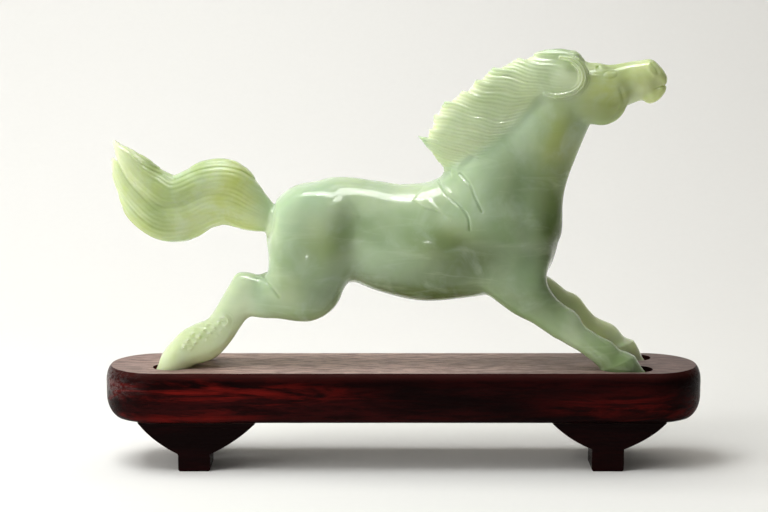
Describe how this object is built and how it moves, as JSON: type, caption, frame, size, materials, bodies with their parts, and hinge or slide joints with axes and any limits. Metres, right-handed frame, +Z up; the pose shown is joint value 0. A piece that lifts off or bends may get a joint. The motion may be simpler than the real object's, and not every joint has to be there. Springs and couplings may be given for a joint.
{
  "type": "carved stone animal figurine on a wooden stand",
  "caption": "Galloping horse carved from green stone, its hooves in shallow pockets of an oblong dark wood stand with rounded ends and bracket feet.",
  "frame": {"origin": "centre of the stand, on the plane that its feet rest on", "axes": "+Z up, +X along the stand towards the horse's head, +Y away from the horse's right side, which faces -Y"},
  "size_m": [0.24, 0.043, 0.1659],
  "materials": {
    "stand_wood": "oiled and polished dark red-brown hardwood",
    "foot_wood": "oiled dark red-brown hardwood",
    "peg_wood": "bare light hardwood",
    "jade": "polished, translucent, clouded green"
  },
  "bodies": {
    "stand": {"stand_top": "stand_wood", "foot_front_left": "foot_wood", "foot_front_right": "foot_wood", "foot_back_left": "foot_wood", "foot_back_right": "foot_wood", "foot_pegs": "peg_wood"},
    "horse": {"jade_horse": "jade"}
  },
  "joints": [
    {"name": "horse_lift", "type": "slide", "parent": "stand", "child": "horse", "axis": [0, 0, 1], "range_m": [0, 0.04]}
  ]
}
